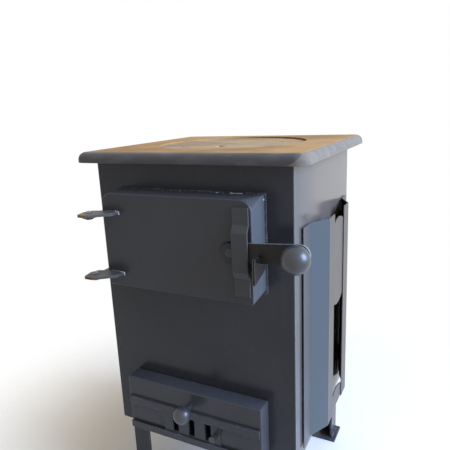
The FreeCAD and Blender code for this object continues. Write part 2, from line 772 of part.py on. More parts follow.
def latch_lever():
    """The lever lies along X from its pivot, then tilts up about it. Its ball is screwed on from behind."""
    bar = box(("0", "lever_length"), ("0", "lever_wall"), ("-lever_width / 2", "lever_width / 2"))
    ends = [rod("lever_width / 2", "lever_wall", (x, "0", "0"), "+y") for x in ("0", "lever_length")]
    pivot_hole = rod("rivet_radius + running_fit", "3 * lever_wall", ("0", "-lever_wall", "0"), "+y")
    screw_hole = rod("screw_radius", "3 * lever_wall", ("lever_length", "-lever_wall", "-ball_drop"), "+y")
    lever = cut(join(bar, *ends), pivot_hole, screw_hole)
    place(lever, (PIVOT_X, LEVER_FACE, PIVOT_Z))
    lever.Placement = FreeCAD.Placement(FreeCAD.Vector(), FreeCAD.Rotation(FreeCAD.Vector(0, -1, 0), 1))
    lever.setExpression("Placement.Rotation.Angle", on_sheet("lever_tilt"))
    subpart("latch_lever", lever)

    rivet_shank = "door_wall + rest_gap + lever_wall + rest_gap"
    rivet = domed_pin("rivet_radius", rivet_shank, "rivet_head_radius", "rivet_head")
    subpart("lever_pivot_rivet", turned(rivet, (PIVOT_X, f"{DOOR_FACE} + door_wall", PIVOT_Z), "-y"))

    end_x = f"{PIVOT_X} + lever_length * cos(lever_tilt) + ball_drop * sin(lever_tilt)"
    end_z = f"{PIVOT_Z} + lever_length * sin(lever_tilt) - ball_drop * cos(lever_tilt)"
    flat_depth = "sqrt(ball_radius^2 - ball_flat_radius^2)"
    ball = [
        ("0", "screw_bite"),
        ("screw_radius", "screw_bite"),
        ("screw_radius", "0"),
        ("ball_flat_radius", "0", "ball_radius"),
        ("0", f"{flat_depth} + ball_radius"),
    ]
    subpart("ball_knob", turned(ball, (end_x, LEVER_FACE, end_z), "-y"))

    screw = [
        ("0", "-screw_head"),
        ("screw_head_radius", "-screw_head"),
        ("screw_head_radius", "0"),
        ("screw_radius", "0"),
        ("screw_radius", "lever_wall + screw_bite"),
        ("0", "lever_wall + screw_bite"),
    ]
    subpart("knob_screw", turned(screw, (end_x, LEVER_BACK, end_z), "-y"))


def latch_catch():
    """A notched plate, clear of the swinging door: the lever rests in its notch, behind its nose."""
    swing = "sqrt((door_width + pin_side)^2 + (door_depth + pin_out)^2)"
    near_x = f"({PIN_X} + {swing} + catch_swing_gap)"
    run = f"({near_x} - {PIVOT_X})"
    lever_under = f"({PIVOT_Z} + {run} * tan(lever_tilt) - lever_width / 2 / cos(lever_tilt))"
    arm_top = f"({lever_under} - catch_clearance)"
    nose_rear = f"({LEVER_FACE} - catch_clearance)"
    nose_front = f"({nose_rear} - catch_nose)"
    nose_top = f"{lever_under} + catch_nose_rise"
    notch_rear = f"({LEVER_BACK} + catch_clearance)"
    hook = [
        (FRONT, f"{arm_top} - catch_root_drop"),
        (FRONT, f"{arm_top} + catch_root_rise"),
        (notch_rear, f"{arm_top} + catch_root_rise"),
        (notch_rear, arm_top),
        (nose_rear, arm_top),
        (nose_rear, nose_top),
        (nose_front, nose_top),
        (nose_front, f"{arm_top} - catch_nose_drop"),
    ]
    catch = pad("YZ_Plane", "catch_wall", [hook], at=(near_x, "0", "0"))
    on_top = lies_at("Z", nose_top)

    def nose_edge(edge):
        return runs_along("X")(edge) and on_top(edge)
    nose_round = f"min(catch_nose_round; catch_nose * {FILLET_SHARE})"
    subpart("latch_catch", soften(catch, nose_edge, nose_round))


# Ash drawer with its air slider

def air_slots(middle_z, y):
    slots = []
    z = (f"{middle_z} - air_slot_height / 2", f"{middle_z} + air_slot_height / 2")
    for index in range(AIR_SLOTS):
        middle = f"{index - (AIR_SLOTS - 1) / 2} * air_slot_pitch"
        slots.append(box((f"{middle} - air_slot_width / 2", f"{middle} + air_slot_width / 2"), y, z))
    return slots


def ash_drawer():
    half = "drawer_front_width / 2"
    face_wall = f"({DRAWER_FACE} + drawer_front_wall)"
    rear = f"({FRONT} - drawer_gap)"
    shell = box((f"-{half}", half), (DRAWER_FACE, rear), (DRAWER_BOTTOM, DRAWER_TOP))
    on_face = lies_at("Y", DRAWER_FACE)
    shell = rounded(shell, lambda edge: on_face(edge) or runs_along("Y")(edge), "drawer_front_round")
    inner_x = (f"-{half} + drawer_front_wall", f"{half} - drawer_front_wall")
    inner_z = (f"{DRAWER_BOTTOM} + drawer_front_wall", f"{DRAWER_TOP} - drawer_front_wall")
    hollow = box(inner_x, (face_wall, FRONT), inner_z)
    slot_z = f"({DRAWER_BOTTOM} + air_slot_inset)"
    slots = air_slots(slot_z, (f"{DRAWER_FACE} - drawer_front_wall", f"{face_wall} + drawer_front_wall"))
    knob_z = f"{DRAWER_TOP} - knob_inset"
    subpart("ash_drawer_front", cut(shell, hollow, *slots))

    box_half = f"({HATCH_X[1]} - drawer_side_gap)"
    box_rear = f"({face_wall} + drawer_length)"
    box_top = f"({HATCH_Z[1]} - drawer_top_gap)"
    outer = box((f"-{box_half}", box_half), (face_wall, box_rear), (DRAWER_FLOOR, box_top))
    inner_half = f"({box_half} - drawer_wall)"
    inner_y = (f"{face_wall} - drawer_wall", f"{box_rear} - drawer_wall")
    inner_z = (f"{DRAWER_FLOOR} + drawer_wall", f"{box_top} + drawer_wall")
    inner = box((f"-{inner_half}", inner_half), inner_y, inner_z)
    subpart("ash_drawer_box", cut(outer, inner))

    dome = "sqrt(knob_radius^2 - knob_neck_radius^2)"
    knob = [
        ("0", "0"),
        ("knob_neck_radius", "0"),
        ("knob_neck_radius", "knob_neck", "knob_radius"),
        ("0", f"knob_neck + {dome} + knob_radius"),
    ]
    subpart("ash_drawer_knob", turned(knob, ("0", DRAWER_FACE, knob_z), "-y"))

    runners = []
    floor_top = "(leg_height + panel_wall)"
    runner_top = f"({DRAWER_FLOOR} - rest_gap)"
    for side in (-1, 1):
        flange_under = f"{runner_top} - runner_wall"
        steps = [("0", floor_top), ("runner_wall", floor_top), ("runner_wall", flange_under),
                 ("runner_flange", flange_under), ("runner_flange", runner_top), ("0", runner_top)]
        section = [(f"{-side} * {u}", v) for u, v in steps]
        at = (f"{side} * {box_half}", INNER_FRONT, "0")
        runners.append(pad("XZ_Plane", f"{INNER_BACK} - {INNER_FRONT}", [section], at=at))
    subpart("drawer_runners", group(*runners))

    slider_half = f"({AIR_SLOTS} * air_slot_pitch / 2 + slider_border)"
    slider_half_z = "(air_slot_height / 2 + slider_border)"
    slider_y = (f"{DRAWER_FACE} - rest_gap - slider_wall", f"{DRAWER_FACE} - rest_gap")
    slider_z = (f"{slot_z} - {slider_half_z}", f"{slot_z} + {slider_half_z}")
    plate = box((f"-{slider_half}", slider_half), slider_y, slider_z)
    openings = air_slots(slot_z, (f"{slider_y[0]} - slider_wall", f"{slider_y[1]} + slider_wall"))
    subpart("air_slider", cut(plate, *openings))
    last_slot_edge = f"({(AIR_SLOTS - 1) / 2} * air_slot_pitch + air_slot_width / 2)"
    stem_x = f"({slider_half} + {last_slot_edge}) / 2"
    slider_knob = [
        ("0", "0"),
        ("slider_knob_foot", "0"),
        ("slider_knob_radius", "slider_knob_length"),
        ("0", "slider_knob_length"),
    ]
    subpart("air_slider_knob", turned(slider_knob, (stem_x, slider_y[0], slot_z), "-y"))

    guides = []
    guide_x = (f"-{half} + drawer_front_round", f"{half} - drawer_front_round")
    lip_face = f"({slider_y[0]} - rest_gap)"
    for inner_edge, way in ((slider_z[0], -1), (slider_z[1], 1)):
        base_edges = [f"{inner_edge} + {way} * rest_gap", f"{inner_edge} + {way} * (rest_gap + guide_width)"]
        lip_edges = [f"{inner_edge} - {way} * guide_lip", base_edges[1]]
        base = box(guide_x, (lip_face, DRAWER_FACE), base_edges[::way])
        lip = box(guide_x, (f"{lip_face} - guide_wall", lip_face), lip_edges[::way])
        guides.append(join(base, lip))
    subpart("air_slider_guides", group(*guides))


# Side shields

SHIELD_TOP = f"({RIM} - shield_drop)"
SHIELD_BOTTOM = "(leg_height + shield_rise)"
SHIELD_HEIGHT = f"({SHIELD_TOP} - {SHIELD_BOTTOM})"


def shield_wing(side, end):
    """A bent sheet: a flange along the body, an oblique run outwards and a flat strip."""
    flange_end = "shield_flange"
    strip_start = "(shield_flange + shield_run)"
    strip_end = f"({strip_start} + shield_strip)"
    bend = "(shield_wall * tan(atan((shield_reach - shield_gap - shield_wall) / shield_run) / 2))"
    sheet_path = [
        ("shield_gap", "0"),
        ("shield_gap + shield_wall", "0"),
        ("shield_gap + shield_wall", flange_end),
        ("shield_reach", strip_start),
        ("shield_reach", strip_end),
        ("shield_reach - shield_wall", strip_end),
        ("shield_reach - shield_wall", f"{strip_start} + {bend}"),
        ("shield_gap", f"{flange_end} + {bend}"),
    ]
    section = [(f"{side} * ({out})", f"{-end} * ({along})") for out, along in sheet_path]
    edge_y = f"{FRONT} + shield_setback" if end < 0 else f"{FRONT} + shield_setback + shield_length"
    at = (f"{side} * body_width / 2", edge_y, SHIELD_BOTTOM)
    return pad("XY_Plane", SHIELD_HEIGHT, [section], at=at)


def shield_bridges(side):
    """Plates with arched ends that join the two wings from behind."""
    reach = "(body_width / 2 + shield_reach - shield_wall)"
    wing = "(shield_flange + shield_run + shield_strip - bridge_lap)"
    start = f"({FRONT} + shield_setback + {wing})"
    finish = f"({FRONT} + shield_setback + shield_length - {wing})"
    upper_top = f"({SHIELD_TOP} - bridge_inset)"
    lower_bottom = f"({SHIELD_BOTTOM} + lower_bridge_inset)"
    rise = f"(bridge_end_radius - sqrt(bridge_end_radius^2 - ({finish} - {start})^2 / 4))"
    lower_top = f"({lower_bottom} + lower_bridge_height)"
    upper_low = f"({upper_top} - upper_bridge_height)"
    upper = [
        (start, f"{upper_low} + {rise}", "bridge_end_radius"),
        (finish, f"{upper_low} + {rise}"),
        (finish, f"{upper_top} - {rise}", "bridge_end_radius"),
        (start, f"{upper_top} - {rise}"),
    ]
    lower = [
        (start, lower_bottom),
        (finish, lower_bottom),
        (finish, f"{lower_top} - {rise}", "bridge_end_radius"),
        (start, f"{lower_top} - {rise}"),
    ]
    at = (f"{reach} - shield_wall" if side > 0 else f"-{reach}", "0", "0")
    plates = [pad("YZ_Plane", "shield_wall", [ends], at=at) for ends in (upper, lower)]
    return group(*plates)


def shield_standoffs(side):
    """Small distance pieces between the wings' flanges and the body."""
    face = "body_width / 2"
    x = (face, f"{face} + shield_gap") if side > 0 else (f"-({face} + shield_gap)", f"-({face})")
    flange_middles = [
        f"{FRONT} + shield_setback + shield_flange / 2",
        f"{FRONT} + shield_setback + shield_length - shield_flange / 2",
    ]
    pieces = []
    for middle in flange_middles:
        for level in range(STANDOFF_LEVELS):
            share = level / (STANDOFF_LEVELS - 1)
            low = f"{SHIELD_BOTTOM} + standoff_inset"
            height = f"{low} + {share} * ({SHIELD_HEIGHT} - 2 * standoff_inset - standoff_height)"
            y = (f"{middle} - standoff_width / 2", f"{middle} + standoff_width / 2")
            pieces.append(box(x, y, (height, f"{height} + standoff_height")))
    return group(*pieces)


def side_shields():
    for name, side in (("left", -1), ("right", 1)):
        subpart(f"{name}_shield_front_wing", shield_wing(side, -1))
        subpart(f"{name}_shield_rear_wing", shield_wing(side, 1))
        subpart(f"{name}_shield_bridges", shield_bridges(side))
        subpart(f"{name}_shield_standoffs", shield_standoffs(side))


# The whole stove

def failed_objects():
    return [item.Label for item in doc.Objects if "Invalid" in item.State or "Error" in item.State]


def bad_shapes():
    return [item.Label for item in subparts if item.Shape.isNull() or not item.Shape.isValid()]


def main():
    body_panels()
    flue_collar()
    legs()
    hob()
    fire_bed()
    fuel_door()
    hinges()
    guide_strap()
    latch_lever()
    latch_catch()
    ash_drawer()
    side_shields()
    doc.recompute()
    faults = failed_objects() + bad_shapes()
    if faults:
        raise RuntimeError(f"These did not build: {faults}")
    os.makedirs("parts", exist_ok=True)
    for item in subparts:
        item.Shape.exportStep(f"parts/{item.Label}.step")
        print(item.Label, len(item.Shape.Solids), round(item.Shape.Volume))


main()
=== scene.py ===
import bmesh
import bpy
import functools
import json
import math
from mathutils import Matrix, Vector


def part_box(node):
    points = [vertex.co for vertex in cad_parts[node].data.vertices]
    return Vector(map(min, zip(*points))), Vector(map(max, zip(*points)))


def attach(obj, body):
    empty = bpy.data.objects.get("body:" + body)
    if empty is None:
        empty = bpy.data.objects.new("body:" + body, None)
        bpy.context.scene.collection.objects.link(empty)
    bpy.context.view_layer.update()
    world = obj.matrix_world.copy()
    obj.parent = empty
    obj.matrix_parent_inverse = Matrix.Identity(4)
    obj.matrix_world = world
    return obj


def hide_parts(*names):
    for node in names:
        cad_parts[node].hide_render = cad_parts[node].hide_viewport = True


# A firebrick-lined wood stove in graphite heat paint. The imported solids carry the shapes. This script gives
# every surface its finish, adds the welds, the weld spatter and the plaited rope seal, and sets the stage.

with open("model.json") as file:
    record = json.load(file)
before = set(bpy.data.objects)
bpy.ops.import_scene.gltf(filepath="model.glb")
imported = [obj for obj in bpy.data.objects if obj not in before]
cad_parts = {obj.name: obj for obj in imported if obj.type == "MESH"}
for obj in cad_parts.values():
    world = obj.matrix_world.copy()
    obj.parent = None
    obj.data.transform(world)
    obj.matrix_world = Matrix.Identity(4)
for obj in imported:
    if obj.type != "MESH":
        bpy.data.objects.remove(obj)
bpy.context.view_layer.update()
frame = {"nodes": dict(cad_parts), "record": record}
NODES = frame["nodes"]
SCENE = bpy.context.scene
MM = 0.001

# Zones of the stove that its finishes tell apart, as spans in millimetres
FIREBOX = {"X": (-173, 173), "Y": (-160.5, 160.5), "Z": (292, 648)}
DOOR_FACE = {"Y": (-220, -213)}
HOB_FLAT = {"X": (-191, 191), "Y": (-175.5, 175.5), "Z": (645, 665)}
HOB_LIT_RIGHT_EDGE = {"X": (165, 215), "Z": (644, 662)}
LEAF_ROOTS = {"X": (-122, -60), "Y": (-260, -200), "Z": (440, 610)}
LOWER_LEAF = {"Z": (440, 500)}

# The slanting line beyond which the hob's front right corner takes painted light: its slope in millimetres
# along and down, and the two levels of that slope between which it starts
LIT_SLOPE_ALONG = 27
LIT_SLOPE_DOWN = 14
LIT_SLOPE_START = (-46.55, -46.4)

# Hinge bracket arms, from the left end of the brackets: where they start and end, in millimetres
BRACKET_ARM = (4.8, 19.8)

# A ring of painted shade for the dark gap round the lever's rounded end at its rivet: its centre in x
# and z, and its inner and outer radius, in millimetres
RIVET_SHADE_RING = (99, 524.5, 13.4, 16.6)

# How far the middle of a weld bead stands off the sheet that it runs along, in millimetres
BEAD_OFF_SHEET = 0.4
FRAME_BEAD_OFF_SHEET = 0.6
LEAF_SIDE_BEAD_OFF_DOOR = 0.2
LEAF_END_BEAD_OFF_DOOR = 0.8

# The beads along a hinge leaf start and end at these distances from its right end, in millimetres
LEAF_SIDE_BEAD = (24, 2)

# Short tack welds along the door's rear top edge, as distances in millimetres from its right end
TACKS = [(52, 34), (76, 73)]

# The lamp, in metres and watts, and the camera, in metres and degrees, with its sensor in millimetres
LAMP_SIZE = (1.4, 1.3)
LAMP_POWER = 112
LAMP_COLOUR = "#b3d0ff"
LAMP_PLACE = (2.1, 0.02, 1.42)
LAMP_AIM = (0, 0, 0.45)
CAMERA_PLACE = (0.38764, -0.78499, 0.7229)
CAMERA_ROLL_PITCH_TURN = (-2.542, 13.946, 27.397)
CAMERA_SENSOR = 36.0
FOCAL_PIXELS = 473.9
PICTURE_PIXELS = 450


def linear(code):
    """An sRGB hex colour as the linear colour that a shader takes."""
    parts = [int(code[i:i + 2], 16) / 255 for i in (1, 3, 5)]
    return [p / 12.92 if p <= 0.04045 else ((p + 0.055) / 1.055) ** 2.4 for p in parts] + [1.0]


def per(millimetres):
    """The texture scale at which a pattern repeats about once in so many millimetres."""
    return 1 / (millimetres * MM)


def add(tree, kind, links=None, give=None, **settings):
    """Add a node and give one of its outputs. Links sets its inputs, by name or number, to values, hex
    colours or outputs of other nodes."""
    node = tree.nodes.new(kind)
    for name, value in settings.items():
        setattr(node, name, value)
    for key, value in (links or {}).items():
        usable = [s for s in node.inputs if s.enabled]
        socket = node.inputs[key] if isinstance(key, int) else next(s for s in usable if s.name == key)
        if isinstance(value, bpy.types.NodeSocket):
            tree.links.new(value, socket)
        else:
            socket.default_value = linear(value) if isinstance(value, str) else value
    outputs = [s for s in node.outputs if s.enabled]
    return node.outputs[give] if give else (outputs or [None])[0]


def new_finish(name):
    """An empty material, the function that adds nodes to it, and the Object coordinates for patterns."""
    material = bpy.data.materials.new(name)
    material.use_nodes = True
    material.node_tree.nodes.clear()
    make = functools.partial(add, material.node_tree)
    return material, make, make("ShaderNodeTexCoord", give="Object")


def patches(make, coords, size, low, high, detail=3.0, squeeze=None):
    """Irregular patches of about a size in millimetres: 0 below the low level of the noise and 1 above the
    high. Squeezing by a small factor draws them out along that axis."""
    if squeeze:
        coords = make("ShaderNodeMapping", {"Vector": coords, "Scale": squeeze})
    noise = make("ShaderNodeTexNoise", {"Vector": coords, "Scale": per(size), "Detail": detail})
    return make("ShaderNodeMapRange", {"Value": noise, "From Min": low, "From Max": high})


def overlap(make, first, *others):
    """1 only where all these masks are 1."""
    for other in others:
        first = make("ShaderNodeMath", {0: first, 1: other}, operation="MULTIPLY")
    return first


def zone(make, coords, soft, **spans):
    """1 inside a box with these spans along X, Y and Z in millimetres, fading out over a soft margin."""
    sides = []
    for axis, (low, high) in spans.items():
        place = make("ShaderNodeSeparateXYZ", {"Vector": coords}, give=axis)
        off = make("ShaderNodeMath", {0: place, 1: (low + high) / 2 * MM}, operation="SUBTRACT")
        far = make("ShaderNodeMath", {0: off}, operation="ABSOLUTE")
        half = (high - low) / 2 * MM
        fade = {"Value": far, "From Min": half + soft * MM, "From Max": half}
        sides.append(make("ShaderNodeMapRange", fade))
    return overlap(make, *sides)


def worn_edges(make, coords, reach, wear):
    """1 along outer edges, within a reach in millimetres, broken up into rubs about 12 mm long."""
    facing = make("ShaderNodeNewGeometry", give="Normal")
    eased = make("ShaderNodeBevel", {"Radius": reach * MM}, samples=6)
    turn = make("ShaderNodeVectorMath", {0: facing, 1: eased}, give="Value", operation="DOT_PRODUCT")
    edge = make("ShaderNodeMapRange", {"Value": turn, "From Min": 0.985, "From Max": 0.86})
    return overlap(make, edge, patches(make, coords, 12, 0.9 - wear, 1.14 - wear))


def layers(make, ground, *coats):
    """A ground colour with other colours laid over it in turn, each where its mask is 1."""
    for mask, colour in coats:
        ground = make("ShaderNodeMix", {"Factor": mask, "A": ground, "B": colour}, data_type="RGBA")
    return ground


def surface(make, **sockets):
    """The shader, with its sockets given by name and underscores for spaces, and the output."""
    shader = make("ShaderNodeBsdfPrincipled", {k.replace("_", " "): v for k, v in sockets.items()})
    make("ShaderNodeOutputMaterial", {"Surface": shader})


# Finishes

def graphite_paint(name, dark, pale, bare, wear, gloss=0.22, painted_light=(), shade_lining=None, shade_ring=None):
    """Graphite heat paint, sprayed thin on rolled sheet: a dark, half-glossy grey, cloudy where the coat is
    thinner, with a fine orange peel, faint runs, bare steel where edges are rubbed and soot inside the
    firebox. Painted light lists zones tinted for how light falls there, as painted light and painted
    reflection, each with its soft margin. A shade lining is the near-black painted shade of faces that look
    inwards, towards the middle of the stove. A shade ring is a ring of painted shade on the front, round a
    centre in x and z, between two radii."""
    material, make, coords = new_finish(name)
    clouds = patches(make, coords, 130, 0.36, 0.66)
    mottle = patches(make, coords, 5, 0.3, 0.75)
    runs = patches(make, coords, 9, 0.52, 0.8, squeeze=(1, 1, 0.06))
    thin = make("ShaderNodeMath", {0: clouds, 1: 0.5, 2: 0.1}, operation="MULTIPLY_ADD")
    thinner = make("ShaderNodeMath", {0: mottle, 1: 0.18, 2: thin}, operation="MULTIPLY_ADD")
    inside = zone(make, coords, 1, **FIREBOX)
    rubbed = worn_edges(make, coords, 1.2, wear)
    peel = make("ShaderNodeTexNoise", {"Vector": coords, "Scale": per(2.2), "Detail": 2.0})
    sheen = make("ShaderNodeMapRange", {"Value": clouds, "To Min": gloss + 0.05, "To Max": gloss})
    coats = [(thinner, pale), (overlap(make, runs, clouds), pale)]
    # Zones tinted for how light falls there: painted light and painted reflection.
    for tint, margin, spans in painted_light:
        coats.append((zone(make, coords, margin, **spans), tint))
    coats += [(rubbed, bare), (inside, "#1b1815")]
    # A ring of painted shade round the lever's rounded end: the dark gap round it.
    if shade_ring:
        x, z, inner, outer = shade_ring
        spoke = make("ShaderNodeVectorMath", {0: coords, 1: (x * MM, 0, z * MM)}, operation="SUBTRACT")
        flat = make("ShaderNodeVectorMath", {0: spoke, 1: (1, 0, 1)}, operation="MULTIPLY")
        reach = make("ShaderNodeVectorMath", {0: flat}, give="Value", operation="LENGTH")
        ring = zone(make, make("ShaderNodeCombineXYZ", {"X": reach}), 0.5, X=(inner, outer))
        coats.append((overlap(make, ring, zone(make, coords, 1, **DOOR_FACE)), "#0f0f10"))
    # Faces that look inwards take a near-black painted shade.
    if shade_lining:
        facing = make("ShaderNodeTexCoord", give="Normal")
        side = make("ShaderNodeSeparateXYZ", {"Vector": coords}, give="X")
        turned = make("ShaderNodeSeparateXYZ", {"Vector": facing}, give="X")
        outwards = overlap(make, side, turned)
        inwards = {"Value": outwards, "From Min": -0.02, "From Max": -0.06}
        coats.append((make("ShaderNodeMapRange", inwards), shade_lining))
    surface(
        make,
        Base_Color=layers(make, dark, *coats),
        Metallic=overlap(make, rubbed, 0.5),
        Roughness=make("ShaderNodeMix", {"Factor": inside, "A": sheen, "B": 0.95}, data_type="FLOAT"),
        Specular_IOR_Level=0.25,
        Normal=make("ShaderNodeBump", {"Height": peel, "Distance": 0.05 * MM, "Strength": 0.15}),
    )
    return material


def heat_tinted_iron(name, oxide, deep, grey, grey_level):
    """Cast hob iron that has been hot: tan oxide on the flat top, wiped grey in streaks, with a dark grey
    rolled edge, painted a pale, half-metal steel grey along the right side and beyond a slanting line at its
    front corner as painted light where the light falls, a grey underside and a sandy skin."""
    material, make, coords = new_finish(name)
    facing = make("ShaderNodeTexCoord", give="Normal")
    upward = make("ShaderNodeSeparateXYZ", {"Vector": facing}, give="Z")
    outside = make("ShaderNodeMapRange", {"Value": upward, "From Min": -0.98, "From Max": -0.85})
    top = overlap(make, zone(make, coords, 3, **HOB_FLAT), outside)
    broad = patches(make, coords, 90, 0.38, 0.62)
    small = patches(make, coords, 16, 0.42, 0.7)
    wiped = patches(make, coords, 40, grey_level, grey_level + 0.18, squeeze=(0.25, 1, 1))
    scuffs = patches(make, coords, 14, 0.5, 0.75, squeeze=(0.3, 0.3, 1))
    rubbed = worn_edges(make, coords, 1.6, 0.35)
    # Painted light: the rim's right side and its front corner past a slanting line are a pale steel grey with
    # more metal, for the light that falls on that side.
    lit_slope = {0: coords, 1: (per(LIT_SLOPE_ALONG), per(LIT_SLOPE_ALONG), -per(LIT_SLOPE_DOWN))}
    slant = make("ShaderNodeVectorMath", lit_slope, give="Value", operation="DOT_PRODUCT")
    lit_start = {"Value": slant, "From Min": LIT_SLOPE_START[0], "From Max": LIT_SLOPE_START[1]}
    lit_corner = make("ShaderNodeMapRange", lit_start)
    rim_only = make("ShaderNodeMath", {0: 1.0, 1: top}, operation="SUBTRACT")
    right_edge = zone(make, coords, 1, **HOB_LIT_RIGHT_EDGE)
    bright = overlap(make, lit_corner, rim_only, right_edge, outside)
    matt = make("ShaderNodeMath", {0: bright, 1: top}, operation="MAXIMUM")
    steel = layers(make, "#918a80", (scuffs, "#878178"), (small, "#9a9287"))
    rim = layers(make, "#5f5d5c", (scuffs, "#72706d"), (rubbed, "#8f8d8b"), (bright, steel))
    flat = layers(make, oxide, (broad, deep), (overlap(make, small, broad, 0.5), "#8b7860"), (wiped, grey))
    sand = make("ShaderNodeTexNoise", {"Vector": coords, "Scale": per(1.6), "Detail": 4.0})
    surface(
        make,
        Base_Color=layers(make, rim, (top, flat)),
        Metallic=overlap(make, bright, 0.8),
        Roughness=make("ShaderNodeMapRange", {"Value": matt, "To Min": 0.45, "To Max": 0.95}),
        Specular_IOR_Level=0.2,
        Normal=make("ShaderNodeBump", {"Height": sand, "Distance": 0.3 * MM, "Strength": 0.3}),
    )
    return material


def sooty_iron():
    """Cast grate iron: black and matte, with pale ash lying on its top faces and a little rust."""
    material, make, coords = new_finish("sooty_cast_iron")
    facing = make("ShaderNodeNewGeometry", give="Normal")
    upward = make("ShaderNodeSeparateXYZ", {"Vector": facing}, give="Z")
    flat = make("ShaderNodeMapRange", {"Value": upward, "From Min": 0.7, "From Max": 0.95})
    rust = patches(make, coords, 22, 0.5, 0.7)
    ash = overlap(make, flat, patches(make, coords, 30, 0.45, 0.68, 5.0))
    sand = make("ShaderNodeTexNoise", {"Vector": coords, "Scale": per(1.8), "Detail": 4.0})
    surface(
        make,
        Base_Color=layers(make, "#2b2827", (rust, "#4a3427"), (ash, "#8d8882")),
        Roughness=0.9,
        Specular_IOR_Level=0.2,
        Normal=make("ShaderNodeBump", {"Height": sand, "Distance": 0.35 * MM, "Strength": 0.5}),
    )
    return material


def rusty_steel():
    """Hot-rolled flat steel, left bare at the pin: brown-grey mill scale with a little rust and rubbed
    edges, darker on the lower leaf, and dark paint where it is welded to the door."""
    material, make, coords = new_finish("mill_scale_steel")
    scale = patches(make, coords, 11, 0.35, 0.65)
    rust = patches(make, coords, 14, 0.6, 0.72, 5.0)
    painted = zone(make, coords, 5, **LEAF_ROOTS)
    rubbed = worn_edges(make, coords, 1.0, 0.44)
    grain = make("ShaderNodeTexNoise", {"Vector": coords, "Scale": per(1.2), "Detail": 4.0})
    # The lower leaf is darker.
    lower_darker = overlap(make, zone(make, coords, 15, **LOWER_LEAF), 0.55)
    bare = layers(make, "#4f4232", (scale, "#80603d"), (rust, "#8a5626"), (lower_darker, "#353230"))
    surface(
        make,
        Base_Color=layers(make, bare, (painted, "#58595b"), (rubbed, "#9ca3ac")),
        Metallic=make("ShaderNodeMapRange", {"Value": painted, "To Min": 0.35, "To Max": 0.1}),
        Roughness=make("ShaderNodeMapRange", {"Value": rubbed, "To Min": 0.45, "To Max": 0.32}),
        Specular_IOR_Level=0.3,
        Normal=make("ShaderNodeBump", {"Height": grain, "Distance": 0.15 * MM, "Strength": 0.3}),
    )
    return material


def blackened_steel(name, dark, light, shine, across=None, painted=None, rubbed=None):
    """Flat and turned steel, blacked by heat and handling, with a dull shine. Its narrow faces, away from
    the axis across the flat, are ground bright. What lies left of a painted limit has the door's grey,
    with its narrow faces near-black as painted shade of the gap round it. Without a flat, edges are
    rubbed bright, in front of a rubbed limit if there is one."""
    material, make, coords = new_finish(name)
    cloudy = patches(make, coords, 6, 0.4, 0.65)
    ground = worn_edges(make, coords, 0.9, 0.7)
    if rubbed:
        ground = overlap(make, ground, zone(make, coords, 8, Y=(rubbed - 60, rubbed)))
    if across:
        facing = make("ShaderNodeTexCoord", give="Normal")
        along = make("ShaderNodeSeparateXYZ", {"Vector": facing}, give=across)
        squarely = make("ShaderNodeMath", {0: along}, operation="ABSOLUTE")
        ground = make("ShaderNodeMapRange", {"Value": squarely, "From Min": 0.7, "From Max": 0.4})
    coats = [(cloudy, light)]
    filed_and_shade = "#8f959c"
    if painted:
        left = zone(make, coords, 3, X=(painted - 60, painted))
        coats.append((left, "#434448"))
        # In the painted part the narrow faces are near-black: painted shade of the gap round the lever's end.
        filed_and_shade = layers(make, filed_and_shade, (left, "#151414"))
    coats.append((ground, filed_and_shade))
    surface(
        make,
        Base_Color=layers(make, dark, *coats),
        Metallic=overlap(make, ground, 0.7),
        Roughness=make("ShaderNodeMapRange", {"Value": cloudy, "To Min": shine, "To Max": shine + 0.12}),
        Specular_IOR_Level=0.2,
    )
    return material


def satin_steel():
    """A turned steel ball, blackened and polished by the hand: dark satin with a wide soft glow, a small
    sharp highlight from the grease on it, fine scratches and browner handled patches."""
    material, make, coords = new_finish("satin_turned_steel")
    handled = patches(make, coords, 15, 0.45, 0.7)
    scratch = patches(make, coords, 1.5, 0.62, 0.8, squeeze=(0.08, 1, 1))
    scored = overlap(make, scratch, handled)
    surface(
        make,
        Base_Color=layers(make, "#33363a", (handled, "#2d2d2d"), (scored, "#45494e")),
        Roughness=make("ShaderNodeMapRange", {"Value": handled, "To Min": 0.46, "To Max": 0.52}),
        Specular_IOR_Level=0.5,
        Coat_Weight=0.5,
        Coat_Roughness=0.22,
        Normal=make("ShaderNodeBump", {"Height": scratch, "Distance": 0.02 * MM, "Strength": 0.2}),
    )
    return material


def heat_dulled_steel():
    """Mild steel sheet behind the fire: grey-brown with clouds of blue temper colour, dusted with soot."""
    material, make, coords = new_finish("heat_dulled_steel")
    temper = patches(make, coords, 40, 0.4, 0.62)
    soot = patches(make, coords, 60, 0.42, 0.66, 5.0)
    dents = patches(make, coords, 2.5, 0.3, 0.7)
    surface(
        make,
        Base_Color=layers(make, "#5b5048", (temper, "#46505e"), (soot, "#1e1b19")),
        Metallic=make("ShaderNodeMapRange", {"Value": soot, "To Min": 0.6, "To Max": 0.0}),
        Roughness=make("ShaderNodeMapRange", {"Value": soot, "To Min": 0.5, "To Max": 0.95}),
        Specular_IOR_Level=0.3,
        Normal=make("ShaderNodeBump", {"Height": dents, "Distance": 0.1 * MM, "Strength": 0.3}),
    )
    return material


